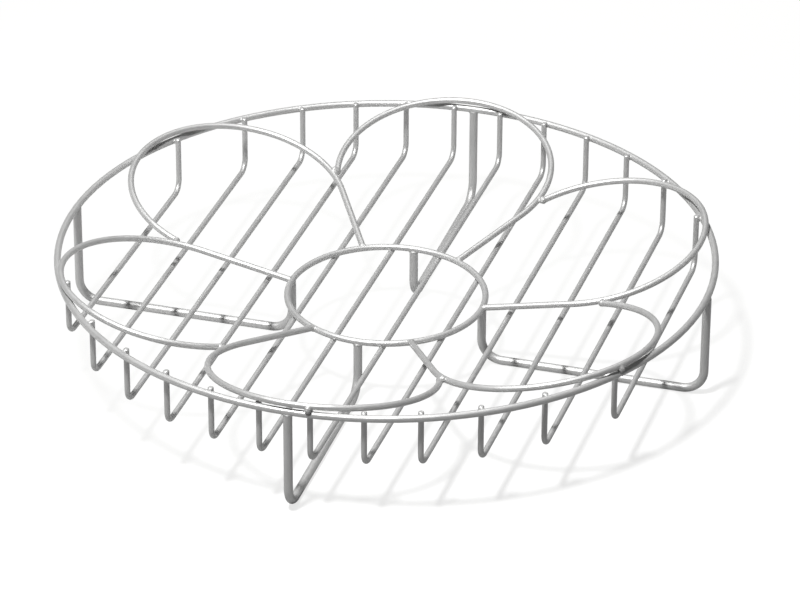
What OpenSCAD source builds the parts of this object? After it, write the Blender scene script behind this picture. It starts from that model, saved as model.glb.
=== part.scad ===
// Round wire cooling rack: a hoop on four legs, a basket of parallel wires,
// a centre ring and six looped petal wires that rise from the ring to the hoop.
// Every piece is one length of bent round wire, butt or cross welded to its
// neighbours. Origin on the table under the middle of the rack, +Z up, with the
// basket wires along Y. All lengths are in millimetres, all angles in degrees.

/* [Hoop] */
// Outside diameter of the hoop
hoop_d = 305; // [290:1:320]
// Wire diameter of the hoop
hoop_wire = 3.2; // [2.8:0.1:3.6]
// Height of the middle of the hoop's wire above the table
hoop_z = 50.7; // [46:0.1:60]

/* [Basket wires] */
// Number of parallel wires across the basket
basket_count = 12; // [8:2:12]
// Distance from one wire to the next
basket_pitch = 23.3; // [20:0.1:24]
// Wire diameter
basket_wire = 2.6; // [2.4:0.1:3]
// Height of the middle of the level runs above the table
basket_z = 25.2; // [22:0.1:28]
// Bend radius where a run turns up to the hoop, at the wire's middle
basket_bend = 6; // [4:0.5:10]
// How far the cut tips stand above the middle of the hoop's wire
tip_rise = 1.8; // [1.2:0.1:2]

/* [Centre ring] */
// Diameter of the ring, at the wire's middle
ring_d = 91.6; // [84:0.2:94]
// Wire diameter of the ring
ring_wire = 2.9; // [2.6:0.1:3.2]

/* [Petals] */
// Wire diameter of the petals
petal_wire = 2.9; // [2.6:0.1:3.2]
// Radius of each loop, as a share of the hoop's radius
petal_share = 0.34; // [0.338:0.001:0.35]
// How far each loop reaches past the middle of the hoop's wire
petal_reach = 0; // [-0.5:0.1:1]
// Gap between the top of the hoop and the underside of a loop
petal_lift = 1; // [0.8:0.1:1.5]
// Height of a petal's inner end above the middle of the ring's wire
petal_step = 0.6; // [0:0.1:0.8]
// Turn of the set of petals about the middle of the rack
petal_turn = 1.5; // [-4:0.5:4]

/* [Legs] */
// Wire diameter of the legs
leg_wire = 4; // [3.6:0.1:4.4]
// Bend radius of the legs, at the wire's middle
leg_bend = 10; // [7:0.5:14]
// Turn of the set of legs about the middle of the rack
leg_turn = 1; // [-2:0.5:2]

/* [Hidden] */
$fn = 48;
sweep_fn = 180;                 // facets of the long curves in a preview
petal_count = 6;
tip_bevel = 0.4;                // deburred edge of a cut wire end
weld_sink = 0.68;               // share of a wire's radius left above a butt weld

hoop_r = (hoop_d - hoop_wire) / 2;
ring_r = ring_d / 2;
ring_z = basket_z + (basket_wire + ring_wire) / 2;

// The upright ends of the basket wires touch the inside of the hoop.
basket_r = hoop_r - (hoop_wire + basket_wire) / 2;

// Each petal lies in a plane that rises from the ring to the top of the hoop.
// All six planes meet at one point, the apex, on the middle line of the rack.
petal_out = hoop_r + petal_reach;
petal_out_z = hoop_z + (hoop_wire + petal_wire) / 2 + petal_lift;
petal_in = (ring_r + ring_wire / 2) * cos(180 / petal_count);
petal_in_z = ring_z + petal_step;
petal_tilt = atan((petal_out_z - petal_in_z) / (petal_out - petal_in));
apex_z = petal_out_z - petal_out * tan(petal_tilt);

// In that plane: the loop's radius, the distance of its middle from the apex,
// and the angle from the petal's middle line to the spoke that is tangent to it.
loop_r = petal_share * hoop_r;
loop_c = petal_out / cos(petal_tilt) - loop_r;
spoke_angle = asin(loop_r / loop_c);
spoke_end = loop_c * cos(spoke_angle);
spoke_start = (ring_r + 0.3 * ring_wire)
    / norm([sin(spoke_angle), cos(spoke_angle) * cos(petal_tilt)]);
spoke_length = hundredth(spoke_end - spoke_start);

// A loop ends where the corner of its cut end touches the next wire, half way
// between the two middle lines.
share_angle = atan(tan(180 / petal_count) * cos(petal_tilt));
touch_angle = acos(loop_c * sin(share_angle) / (loop_r + petal_wire / 2));
loop_sweep = 180 + spoke_angle + share_angle - touch_angle;

// Rounded down to 0.01 mm, so that pieces of one wire meet face to face.
function hundredth(x) = floor(100 * x) / 100;
function numbered(name, i) = str(name, i < 10 ? "0" : "", i);
leg_names = ["leg_right", "leg_back", "leg_left", "leg_front"];

// A closed ring of round wire, lying flat.
module wire_ring(r, wire) {
    rotate_extrude($fn = sweep_fn) translate([r, 0]) circle(d = wire);
}

// An arc of round wire about the origin in the XY plane.
module wire_arc(r, wire, from, sweep) {
    rotate([0, 0, from])
        rotate_extrude(angle = sweep, $fn = sweep_fn) translate([r, 0]) circle(d = wire);
}

// A straight upright of round wire, with a bevelled top if bevel is above zero.
module wire_upright(wire, height, bevel) {
    cylinder(d = wire, h = height - bevel);
    if (bevel > 0)
        translate([0, 0, height - bevel]) cylinder(d1 = wire, d2 = wire - 2 * bevel, h = bevel);
}

// A wire bent to a U in the XZ plane: a level run at z, a quarter bend at each
// end, and an upright at x0 and x1 that goes up to top0 and top1.
module wire_u(wire, x0, x1, z, top0, top1, bend, bevel = 0) {
    translate([x0 + bend, 0, z])
        rotate([0, 90, 0]) cylinder(d = wire, h = x1 - x0 - 2 * bend);
    translate([x0 + bend, 0, z + bend]) rotate([90, 0, 0]) wire_arc(bend, wire, 180, 90);
    translate([x1 - bend, 0, z + bend]) rotate([90, 0, 0]) wire_arc(bend, wire, 270, 90);
    translate([x0, 0, z + bend]) wire_upright(wire, top0 - z - bend, bevel);
    translate([x1, 0, z + bend]) wire_upright(wire, top1 - z - bend, bevel);
}

module outer_hoop() {
    color("silver") translate([0, 0, hoop_z]) wire_ring(hoop_r, hoop_wire);
}

module centre_ring() {
    color("silver") translate([0, 0, ring_z]) wire_ring(ring_r, ring_wire);
}

// Basket wire i, counted from -X. Its run goes under the ring, and its uprights
// end a little above the hoop.
module basket_wire(i) {
    x = (i - (basket_count + 1) / 2) * basket_pitch;
    reach = hundredth(sqrt(basket_r * basket_r - x * x));
    top = hoop_z + tip_rise;
    color("lightgray") translate([x, 0, 0]) rotate([0, 0, 90])
        wire_u(basket_wire, -reach, reach, basket_z, top, top, basket_bend, tip_bevel);
}

// One petal flat in the XY plane, with the middle of its loop at the origin: a
// spoke along -Y that meets the loop at +X, and the loop on from there.
module flat_petal() {
    translate([loop_r, 0, 0]) rotate([90, 0, 0]) cylinder(d = petal_wire, h = spoke_length);
    wire_arc(loop_r, petal_wire, 0, loop_sweep);
}

// Petal i, counted anticlockwise from the one nearest -Y. Its spoke leaves the
// outside of the ring, and its loop comes round to the side of the next petal.
module petal_wire(i) {
    color("gainsboro") rotate([0, 0, (i - 1) * 360 / petal_count + petal_turn]) difference() {
        translate([0, 0, apex_z]) rotate([-petal_tilt, 0, 0])
            translate([0, -loop_c, 0]) rotate([0, 0, 180 - spoke_angle]) flat_petal();
        centre_ring();
    }
}

// Leg i, counted anticlockwise from the one nearest +X. The outer upright stands under the hoop
// and the inner one under the ring, each with its top shaped to the wire above.
module leg(i) {
    color("darkgray") rotate([0, 0, (i - 1) * 90 + leg_turn]) difference() {
        wire_u(
            leg_wire, ring_r, hoop_r, leg_wire / 2,
            ring_z - weld_sink * ring_wire / 2, hoop_z - weld_sink * hoop_wire / 2, leg_bend
        );
        outer_hoop();
        centre_ring();
    }
}

outer_hoop();
centre_ring();
for (i = [1:basket_count])
    basket_wire(i);
for (i = [1:petal_count])
    petal_wire(i);
for (i = [1:4])
    leg(i);
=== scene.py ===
import math

import bpy
import numpy as np
from mathutils import Matrix, Vector
from mathutils.bvhtree import BVHTree


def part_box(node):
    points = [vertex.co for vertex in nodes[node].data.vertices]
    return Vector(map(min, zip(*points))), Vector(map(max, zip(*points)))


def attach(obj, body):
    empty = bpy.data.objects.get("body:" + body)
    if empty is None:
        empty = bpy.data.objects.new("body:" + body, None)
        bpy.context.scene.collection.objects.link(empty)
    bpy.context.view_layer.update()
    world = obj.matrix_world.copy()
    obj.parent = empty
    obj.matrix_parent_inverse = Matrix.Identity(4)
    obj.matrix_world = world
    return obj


# A round wire cooling rack of plated steel. The 24 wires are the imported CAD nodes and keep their
# shape. This script gives them their finish and adds the weld metal that joins them.
# Lengths are in metres, in the frame of the CAD model. A lamp or a camera at azimuth 0 stands on the
# -Y side of the rack, and at azimuth 90 on the +X side.

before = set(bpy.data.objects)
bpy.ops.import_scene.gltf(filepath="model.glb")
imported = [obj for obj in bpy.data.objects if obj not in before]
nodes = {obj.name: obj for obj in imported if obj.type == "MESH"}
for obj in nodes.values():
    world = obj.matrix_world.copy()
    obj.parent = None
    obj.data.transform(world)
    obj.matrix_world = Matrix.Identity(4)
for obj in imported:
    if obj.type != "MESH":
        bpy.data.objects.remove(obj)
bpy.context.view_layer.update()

MM = 0.001

# ---------------------------------------------------------------- sizes read from the frame

hoop_low, hoop_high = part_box("outer_hoop")
ring_low, ring_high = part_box("centre_ring")
hoop_wire = hoop_high.z - hoop_low.z
ring_wire = ring_high.z - ring_low.z
hoop_z = (hoop_high.z + hoop_low.z) / 2
ring_z = (ring_high.z + ring_low.z) / 2
hoop_r = hoop_high.x - hoop_wire / 2
ring_r = ring_high.x - ring_wire / 2
basket = sorted(name for name in nodes if name.startswith("basket_wire"))
petals = sorted(name for name in nodes if name.startswith("petal_wire"))
petal_turns = [math.radians(60 * k) for k in range(6)]
leg_turns = [math.radians(90 * k) for k in range(4)]


def way_to(azimuth, elevation):
    """The direction from the rack to a lamp or a camera."""
    a = math.radians(azimuth)
    e = math.radians(elevation)
    return Vector((math.sin(a) * math.cos(e), -math.cos(a) * math.cos(e), math.sin(e)))


# ---------------------------------------------------------------- the shape of weld metal

GRID = 0.22 * MM                # the step of the grid that weld metal is worked out on
SINK = 0.05 * MM                # how far the metal ends under the surface of a wire
LEAST_REACH = 0.02              # the share of a fillet's reach that is left at its edge
BEAD_MERGE = 0.6                # how far a bead merges into the fillet, as a share of its reach
LUMP = 0.12 * MM                # the height of the lumps on a bead
LUMP_WAVES = ((2.1, 1.3, 1.7), (-1.1, 2.3, 1.9))     # and the two waves they follow, per millimetre

wire_trees = {}


def wire_tree(name):
    """A search tree of the faces of a wire."""
    if name not in wire_trees:
        mesh = nodes[name].data
        corners = [v.co for v in mesh.vertices]
        faces = [p.vertices for p in mesh.polygons]
        wire_trees[name] = BVHTree.FromPolygons(corners, faces, epsilon=0.0)
    return wire_trees[name]


def depth(name, points):
    """Distance from each point to the surface of a wire, negative inside it. A point is inside only if it
    is straight behind the nearest face, so a point beside the sharp edge of a cut end is outside."""
    straight = 0.9
    tree = wire_tree(name)
    gaps = np.empty(len(points))
    for k, point in enumerate(points):
        spot, normal, _, gap = tree.find_nearest(point)
        inside = (Vector(point) - spot).dot(normal) < -straight * gap
        gaps[k] = -gap if inside else gap
    return gaps


def blend(a, b, reach):
    """The smaller of two distances, rounded where they are nearly equal, as weld metal fills a corner."""
    near = np.maximum(reach - np.abs(a - b), 0) / reach
    return np.minimum(a, b) - near * near * reach / 4


def surface_net(field, corner):
    """The closed surface where a field on a grid is zero: a point in each cell it crosses and a
    four-sided face round each grid line it crosses."""
    cells = np.array(field.shape) - 1
    total = np.zeros((*cells, 3))
    hits = np.zeros(cells)
    rounds = []
    for axis in range(3):
        u = (axis + 1) % 3
        v = (axis + 2) % 3
        first = np.take(field, range(cells[axis]), axis)
        last = np.take(field, range(1, cells[axis] + 1), axis)
        line = np.argwhere((first < 0) != (last < 0))
        line = line[(line[:, u] > 0) & (line[:, u] < cells[u])]
        line = line[(line[:, v] > 0) & (line[:, v] < cells[v])]
        at = tuple(line.T)
        place = line.astype(float)
        place[:, axis] += first[at] / (first[at] - last[at])
        around = []
        for du, dv in ((0, 0), (1, 0), (1, 1), (0, 1)):
            cell = line.copy()
            cell[:, u] -= du
            cell[:, v] -= dv
            np.add.at(total, tuple(cell.T), place)
            np.add.at(hits, tuple(cell.T), 1)
            around.append(cell)
        rounds.append((around, first[at] > 0))
    used = hits > 0
    number = np.full(cells, -1)
    number[used] = np.arange(used.sum())
    points = total[used] / hits[used][:, None] * GRID + corner
    faces = []
    for around, flip in rounds:
        quads = np.stack([number[tuple(cell.T)] for cell in around], 1)
        quads[flip] = quads[flip][:, ::-1]
        faces.append(quads)
    return points, np.concatenate(faces)


def weld(one, other, place, span, reach, beads=()):
    """Weld metal between two wires round a place: a fillet of a given reach, and beads given as their
    middles and radii. The fillet fades with distance, so at the span the metal has sunk into the wires."""
    count = int(math.ceil(2 * span / GRID)) + 3
    corner = np.array(place) - (count - 1) / 2 * GRID
    steps = np.stack(np.meshgrid(*[np.arange(count)] * 3, indexing="ij"), -1)
    grid = steps.reshape(-1, 3) * GRID + corner
    distance = np.linalg.norm(grid - np.array(place), axis=1)
    away = distance - span
    field = np.where(away > GRID, away, 0.0)
    near = away <= GRID
    points = grid[near]
    fade = reach * np.clip(1 - (distance[near] / span) ** 2, LEAST_REACH, 1)
    metal = blend(depth(one, points) + SINK, depth(other, points) + SINK, fade)
    for middle, radius in beads:
        lumps = LUMP * np.sin(points @ LUMP_WAVES[0] / MM) * np.sin(points @ LUMP_WAVES[1] / MM)
        ball = np.linalg.norm(points - np.array(middle), axis=1) - radius + lumps
        metal = blend(metal, ball, BEAD_MERGE * reach)
    field[near] = np.maximum(metal, away[near])
    return surface_net(field.reshape(count, count, count), corner)


def turned(shape, angles):
    """Copies of a shape, turned about the middle of the rack."""
    points, faces = shape
    copies = []
    for angle in angles:
        turn = np.array(Matrix.Rotation(angle, 3, "Z"))
        copies.append((points @ turn.T, faces))
    return copies


def make_piece(name, shapes, material):
    """One piece of several closed shapes, riding on the rack's one body."""
    points = []
    faces = []
    start = 0
    for shape_points, shape_faces in shapes:
        points.append(shape_points)
        faces.append(shape_faces + start)
        start += len(shape_points)
    mesh = bpy.data.meshes.new(name)
    mesh.from_pydata(np.concatenate(points).tolist(), [], np.concatenate(faces).tolist())
    mesh.validate()
    mesh.polygons.foreach_set("use_smooth", [True] * len(mesh.polygons))
    mesh.materials.append(material)
    piece = bpy.data.objects.new(name, mesh)
    bpy.context.scene.collection.objects.link(piece)
    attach(piece, "root")


# ---------------------------------------------------------------- where the welds are

def place_round(radius, angle, height):
    """A place at an angle round the rack, from +X towards +Y."""
    place = Vector((math.cos(angle), math.sin(angle), 0)) * radius
    place.z = height
    return place


def upright_tips(name):
    """The tips of the two uprights of a basket wire, the one on the -Y side first."""
    low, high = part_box(name)
    wire = high.x - low.x
    x = (low.x + high.x) / 2
    return [Vector((x, low.y + wire / 2, high.z)), Vector((x, high.y - wire / 2, high.z))]


def closest_part(name, other, spread):
    """The middle of the points of a wire that are closest to another wire, give or take a spread."""
    points = np.array([v.co for v in nodes[name].data.vertices])
    gaps = np.array([wire_tree(other).find_nearest(p)[3] for p in points])
    return points[gaps < gaps.min() + spread].mean(0)


def cut_end(name, near):
    """The middle of the flat end of a wire that lies near a place, and the way it faces. The flat end is
    told by the direction that the most faces near the place share."""
    search = 3.2 * MM
    same_way = 0.9999
    mesh = nodes[name].data
    faces = [p for p in mesh.polygons if (p.center - near).length < search]
    flat = max(faces, key=lambda p: sum(p.normal.dot(q.normal) > same_way for q in faces)).normal.copy()
    corners = {v for p in faces if p.normal.dot(flat) > same_way for v in p.vertices}
    middle = np.mean([mesh.vertices[v].co for v in corners], axis=0)
    return Vector(middle), flat


# ---------------------------------------------------------------- the welds

# For each kind, how far its metal can spread from its middle, and the reach of its fillet.
HOOP_BASKET = (3.0 * MM, 1.8 * MM)
LEG_TOP = (3.6 * MM, 2.0 * MM)
RING_BASKET = (2.6 * MM, 1.2 * MM)
RING_PETAL = (3.6 * MM, 1.6 * MM)
PETAL_PETAL = (4.6 * MM, 1.6 * MM)
PETAL_BASKET = (4.2 * MM, 1.4 * MM)
# The size of the bead where each petal ends on the next, from the first petal on.
BEAD_SIZES = (1.0, 0.35, 0.7, 1.1, 0.5, 0.5)


def weld_basket_to_hoop(look):
    """All the uprights stand against the inside of the hoop in the same way."""
    tips = [tip for name in basket for tip in upright_tips(name)]
    angles = [math.atan2(tip.y, tip.x) for tip in tips]
    place = place_round(hoop_r - hoop_wire / 2, angles[0], hoop_z)
    first = weld(basket[0], "outer_hoop", place, *HOOP_BASKET)
    make_piece("hoop_basket_welds", turned(first, [angle - angles[0] for angle in angles]), look)


def weld_legs(look):
    """Each leg ends under the hoop and under the ring."""
    low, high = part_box("leg_right")
    angle = math.atan2((low.y + high.y) / 2, (low.x + high.x) / 2)
    place = place_round(hoop_r, angle, hoop_z - hoop_wire / 2)
    outer = weld("leg_right", "outer_hoop", place, *LEG_TOP)
    make_piece("hoop_leg_welds", turned(outer, leg_turns), look)
    place = place_round(ring_r, angle, ring_z - ring_wire / 2)
    inner = weld("leg_right", "centre_ring", place, *LEG_TOP)
    make_piece("ring_leg_welds", turned(inner, leg_turns), look)


def weld_ring_to_basket(look):
    """The ring lies on the middle basket wires, and crosses each of them twice."""
    shapes = []
    for name in basket:
        low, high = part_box(name)
        x = (low.x + high.x) / 2
        if abs(x) < ring_r:
            y = math.sqrt(ring_r ** 2 - x ** 2)
            for side in (-y, y):
                place = Vector((x, side, ring_low.z))
                shapes.append(weld(name, "centre_ring", place, *RING_BASKET))
    make_piece("ring_basket_welds", shapes, look)


def weld_petals_to_ring(look):
    """Each petal starts at the outside of the ring."""
    place = closest_part(petals[0], "centre_ring", 0.4 * MM)
    first = weld(petals[0], "centre_ring", place, *RING_PETAL)
    make_piece("ring_petal_welds", turned(first, petal_turns), look)


def weld_petals_together(look):
    """Each petal's loop comes round and ends on the next petal, where a bead covers its cut end and
    another lies on top."""
    shapes = []
    for name, after, size in zip(petals, petals[1:] + petals[:1], BEAD_SIZES):
        place = Vector(closest_part(name, after, 0.3 * MM))
        end, way = cut_end(name, place)
        cover = (end + way * 0.3 * size * MM, (1.25 + 0.25 * size) * MM)
        top = (place + Vector((0, 0, 0.9 * size * MM)), 1.3 * size * MM)
        shapes.append(weld(name, after, place, *PETAL_PETAL, beads=[cover, top]))
    make_piece("petal_welds", shapes, look)


def weld_petals_to_basket(look):
    """On the -Y side two basket tips are joined to the petal above them, over the outside of the hoop."""
    shapes = []
    for name, petal in (("basket_wire_07", "petal_wire_01"), ("basket_wire_12", "petal_wire_02")):
        tip = upright_tips(name)[0]
        middle = Vector((tip.x, tip.y, 0)).normalized() * (hoop_r + hoop_wire / 3)
        middle.z = hoop_high.z + 1.2 * MM
        joint = (middle, 1.5 * MM)
        cap = (tip, 1.4 * MM)
        shapes.append(weld("outer_hoop", petal, middle, *PETAL_BASKET, beads=[joint, cap]))
    make_piece("petal_basket_welds", shapes, look)


def make_welds(look):
    weld_basket_to_hoop(look)
    weld_legs(look)
    weld_ring_to_basket(look)
    weld_petals_to_ring(look)
    weld_petals_together(look)
    weld_petals_to_basket(look)


# ---------------------------------------------------------------- node trees

class Nodes:
    """A short way to write a node tree."""

    def __init__(self, tree):
        self.tree = tree
        tree.nodes.clear()

    def add(self, kind, settings=None, **inputs):
        """A new node. Inputs are given by name, with _ for a space, or as in0, in1 and so on."""
        node = self.tree.nodes.new(kind)
        for key, value in (settings or {}).items():
            setattr(node, key, value)
        for key, value in inputs.items():
            if key[:2] == "in" and key[2:].isdigit():
                socket = node.inputs[int(key[2:])]
            else:
                socket = node.inputs[key.replace("_", " ")]
            if isinstance(value, bpy.types.NodeSocket):
                self.tree.links.new(value, socket)
            else:
                socket.default_value = value
        return node

    def math(self, operation, a, b):
        return self.add("ShaderNodeMath", {"operation": operation}, in0=a, in1=b).outputs[0]

    def vector(self, operation, **inputs):
        return self.add("ShaderNodeVectorMath", {"operation": operation}, **inputs).outputs

    def span(self, value, low, high):
        """A value from 0 to 1, stretched to run from low to high."""
        return self.add("ShaderNodeMapRange", None, Value=value, To_Min=low, To_Max=high).outputs[0]

    def fade(self, value, low, high, top=1.0):
        """0 up to low, then a smooth rise to top at high."""
        settings = {"interpolation_type": "SMOOTHSTEP"}
        node = self.add(
            "ShaderNodeMapRange", settings, Value=value, From_Min=low, From_Max=high, To_Max=top,
        )
        return node.outputs[0]

    def along(self, vector, azimuth):
        """How far a vector runs the way a level camera at an azimuth looks."""
        return self.vector("DOT_PRODUCT", in0=vector, in1=-way_to(azimuth, 0))["Value"]

    def ramp(self, value, stops):
        """A level read from (position, level) stops."""
        node = self.add("ShaderNodeValToRGB", None, Fac=value)
        marks = node.color_ramp.elements
        marks.remove(marks[1])
        for k, (position, level) in enumerate(stops):
            mark = marks[0] if k == 0 else marks.new(position)
            mark.position = position
            mark.color = (level, level, level, 1)
        return node.outputs["Color"]

    def noise(self, vector, seed, scale, detail, roughness):
        node = self.add(
            "ShaderNodeTexNoise", {"noise_dimensions": "4D"},
            Vector=vector, W=seed, Scale=scale, Detail=detail, Roughness=roughness,
        )
        return node.outputs["Fac"]

    def mix(self, share, one, other):
        """One shader, or the other where the share is 1."""
        return self.add("ShaderNodeMixShader", None, in0=share, in1=one, in2=other).outputs[0]


def new_material(name):
    """An empty material, and its node tree to write in."""
    material = bpy.data.materials.new(name)
    material.use_nodes = True
    return material, Nodes(material.node_tree)


# ---------------------------------------------------------------- the finish of the wires

BRIGHT = (0.64, 0.64, 0.635)    # the tint of the plating on the hoop, the ring and the petals,
SATIN = (0.60, 0.60, 0.595)     # on the basket and the legs,
BURNT = (0.57, 0.57, 0.565)     # and over the welds
METALLIC = 0.55                 # less than 1, for the wide sheen under the reflections


def plated_steel(name, tint, roughness, seed):
    """Satin bright plating over drawn wire: soft clouds of tone, lines along the wire and fine grain."""
    material, n = new_material(name)
    place = n.add("ShaderNodeTexCoord").outputs
    # The normal is the same all along a straight wire, so noise over it draws lines along the wire.
    drift = n.vector("SCALE", in0=place["Object"], Scale=25.0)["Vector"]
    along = n.vector("MULTIPLY_ADD", in0=place["Normal"], in1=(9.0, 9.0, 9.0), in2=drift)["Vector"]
    lines = n.noise(along, seed, scale=1.0, detail=4.0, roughness=0.6)
    clouds = n.noise(place["Object"], seed, scale=140.0, detail=3.0, roughness=0.55)
    grain = n.noise(place["Object"], seed, scale=2600.0, detail=2.0, roughness=0.5)
    shade = n.math("MULTIPLY", n.span(clouds, 0.9, 1.08), n.span(lines, 0.93, 1.05))
    colour = n.vector("SCALE", in0=tint, Scale=shade)["Vector"]
    dull = n.math("ADD", n.span(clouds, roughness - 0.06, roughness + 0.06), n.span(lines, -0.03, 0.03))
    height = n.math("ADD", n.math("MULTIPLY", lines, 0.7), n.math("MULTIPLY", grain, 0.3))
    bump = n.add("ShaderNodeBump", None, Strength=0.25, Distance=0.05 * MM, Height=height).outputs[0]
    steel = n.add(
        "ShaderNodeBsdfPrincipled", None,
        Base_Color=colour, Metallic=METALLIC, Roughness=dull, Normal=bump,
    )
    n.add("ShaderNodeOutputMaterial", None, Surface=steel.outputs["BSDF"])
    return material


def make_looks():
    """The plating of each kind of wire, and of the welds."""
    return {
        "hoop": plated_steel("hoop_plating", BRIGHT, roughness=0.42, seed=1.0),
        "ring": plated_steel("ring_plating", BRIGHT, roughness=0.42, seed=2.0),
        "basket": plated_steel("basket_plating", SATIN, roughness=0.46, seed=3.0),
        "petal": plated_steel("petal_plating", BRIGHT, roughness=0.42, seed=4.0),
        "leg": plated_steel("leg_plating", SATIN, roughness=0.46, seed=5.0),
        "weld": plated_steel("weld_plating", BURNT, roughness=0.50, seed=6.0),
    }


def finish_wires(looks):
    """Gives every CAD node the look whose name is part of its own."""
    for name, node in nodes.items():
        kind = next(kind for kind in looks if kind in name)
        node.material_slots[0].material = looks[kind]


# ---------------------------------------------------------------- the floor

WHITE = (1.0, 1.0, 0.995, 1)
FLOOR_SIZE = 8.0
FLOOR_GLOW = 0.715              # the glow that keeps its shadows faint
FLOOR_PAPER = 0.26              # the part of its tone that shadows darken
FLOOR_NEAR_PAINTED_SHADE = 0.17               # its grey as the wires mirror it, on the near right side, darker there as painted shade
FLOOR_FAR_PAINTED_LIGHT = 0.56                # and on the far left side, lighter there as painted light
FLOOR_RUN = 42                  # the azimuth that looks from one to the other


def floor_as_seen(n, place, run):
    """A glowing paper with faint shadows. It is evenly white away from the rack, and the shadows under
    the rack's far side are almost gone."""
    glow = n.add("ShaderNodeEmission", None, Color=WHITE, Strength=FLOOR_GLOW).outputs[0]
    grey = (FLOOR_PAPER, FLOOR_PAPER, FLOOR_PAPER, 1)
    paper = n.add("ShaderNodeBsdfDiffuse", None, Color=grey).outputs[0]
    lit = n.add("ShaderNodeAddShader", None, in0=glow, in1=paper).outputs[0]
    even = n.add("ShaderNodeEmission", None, Color=WHITE, Strength=1.0).outputs[0]
    away = n.fade(n.vector("LENGTH", in0=place)["Value"], hoop_r * 1.6, hoop_r * 3)
    behind = n.fade(run, -hoop_r * 1.1, hoop_r * 0.3, top=0.8)
    return n.mix(n.math("MAXIMUM", away, behind), lit, even)


def floor_as_mirrored(n, run):
    """A grey that lightens from the near right to the far left. It is painted shade on the near right and
    painted light on the far left, and the wires mirror it.
    """
    tone = n.add(
        "ShaderNodeMapRange", None, Value=run,
        From_Min=-hoop_r * 2, From_Max=hoop_r, To_Min=FLOOR_NEAR_PAINTED_SHADE, To_Max=FLOOR_FAR_PAINTED_LIGHT,
    )
    return n.add("ShaderNodeBsdfDiffuse", None, Color=tone.outputs[0]).outputs[0]


def pale_floor():
    """A pale table, which differs between the camera and the wires that mirror it, and is clear from
    below."""
    material, n = new_material("pale_floor")
    place = n.add("ShaderNodeTexCoord").outputs["Object"]
    run = n.along(place, FLOOR_RUN)
    seen = floor_as_seen(n, place, run)
    mirrored = floor_as_mirrored(n, run)
    upper = n.mix(n.add("ShaderNodeLightPath").outputs["Is Camera Ray"], mirrored, seen)
    clear = n.add("ShaderNodeBsdfTransparent").outputs[0]
    both = n.mix(n.add("ShaderNodeNewGeometry").outputs["Backfacing"], upper, clear)
    n.add("ShaderNodeOutputMaterial", None, Surface=both)
    return material


def make_floor():
    """A wide table top at the height of the feet."""
    bpy.ops.mesh.primitive_plane_add(size=FLOOR_SIZE, location=(0, 0, 0))
    floor = bpy.context.object
    floor.name = "floor"
    floor.data.materials.append(pale_floor())


# ---------------------------------------------------------------- light

# The brightness of the studio at positions from 0, the horizon behind the rack, through 0.5, overhead,
# to 1, the horizon behind the camera.
DOME = ((0.0, 0.10), (0.3, 0.14), (0.5, 0.17), (0.70, 0.05), (1.0, 0.04))
DOME_AZIMUTH = 17
LEFT_SIDE = 1.3                 # how much brighter the dome is at its left
RIGHT_SIDE = 0.7                # and at its right


def make_lamp(name, shape, way, distance, size, watts):
    """A flat lamp that faces the rack."""
    lamp = bpy.data.objects.new(name, bpy.data.lights.new(name, "AREA"))
    bpy.context.scene.collection.objects.link(lamp)
    lamp.location = way * distance
    lamp.rotation_euler = way.to_track_quat("Z", "Y").to_euler()
    lamp.data.shape = shape
    lamp.data.size = size
    lamp.data.energy = watts


def make_lights():
    """A round key lamp that casts the soft shadows, and a small panel over the far side."""
    key_way = way_to(azimuth=340, elevation=67)
    panel_way = way_to(azimuth=205, elevation=72)
    make_lamp("key", "DISK", key_way, distance=1.9, size=0.22, watts=43)
    make_lamp("panel", "SQUARE", panel_way, distance=0.75, size=0.34, watts=1.3)


def make_world():
    """A dim studio dome, lightest overhead and a little lighter on the left. To the camera it is as pale
    as the floor."""
    world = bpy.data.worlds.new("studio")
    world.use_nodes = True
    bpy.context.scene.world = world
    n = Nodes(world.node_tree)
    way = n.add("ShaderNodeTexCoord").outputs["Generated"]
    back = n.along(way, DOME_AZIMUTH)
    left = n.along(way, DOME_AZIMUTH + 90)
    height = n.add("ShaderNodeSeparateXYZ", None, Vector=way).outputs["Z"]
    over = n.math("DIVIDE", n.math("ARCTAN2", height, back), math.pi)
    side = n.add(
        "ShaderNodeMapRange", None, Value=left, From_Min=-1.0, To_Min=RIGHT_SIDE, To_Max=LEFT_SIDE,
    )
    strength = n.math("MULTIPLY", n.ramp(over, DOME), side.outputs[0])
    dome = n.add("ShaderNodeBackground", None, Color=(1, 1, 1, 1), Strength=strength).outputs[0]
    pale = n.add("ShaderNodeBackground", None, Color=WHITE, Strength=1.0).outputs[0]
    both = n.mix(n.add("ShaderNodeLightPath").outputs["Is Camera Ray"], dome, pale)
    n.add("ShaderNodeOutputWorld", None, Surface=both)


# ---------------------------------------------------------------- camera

CAMERA_AZIMUTH = 17.1
CAMERA_ELEVATION = 29.24
CAMERA_ROLL = 0.3
CAMERA_DISTANCE = 2054 * MM
CAMERA_AIM = Vector((6.2, 1.3, 25.35)) * MM
CAMERA_LENS = 200
CAMERA_SENSOR = 36


def make_camera():
    """A long lens that looks down at the rack from the front, a little to the right."""
    a = math.radians(CAMERA_AZIMUTH)
    ahead = -way_to(CAMERA_AZIMUTH, CAMERA_ELEVATION)
    right = Vector((math.cos(a), math.sin(a), 0))
    roll = Matrix.Rotation(-math.radians(CAMERA_ROLL), 3, ahead)
    up = roll @ right.cross(ahead)
    right = roll @ right
    data = bpy.data.cameras.new("camera")
    data.lens = CAMERA_LENS
    data.sensor_width = CAMERA_SENSOR
    data.clip_start = 0.1
    data.clip_end = 20
    camera = bpy.data.objects.new("camera", data)
    bpy.context.scene.collection.objects.link(camera)
    turn = Matrix((right, up, -ahead)).transposed().to_4x4()
    camera.matrix_world = Matrix.Translation(CAMERA_AIM - ahead * CAMERA_DISTANCE) @ turn
    bpy.context.scene.camera = camera


looks = make_looks()
finish_wires(looks)
make_welds(looks["weld"])
make_floor()
make_world()
make_lights()
make_camera()
bpy.context.scene.view_settings.view_transform = "Standard"
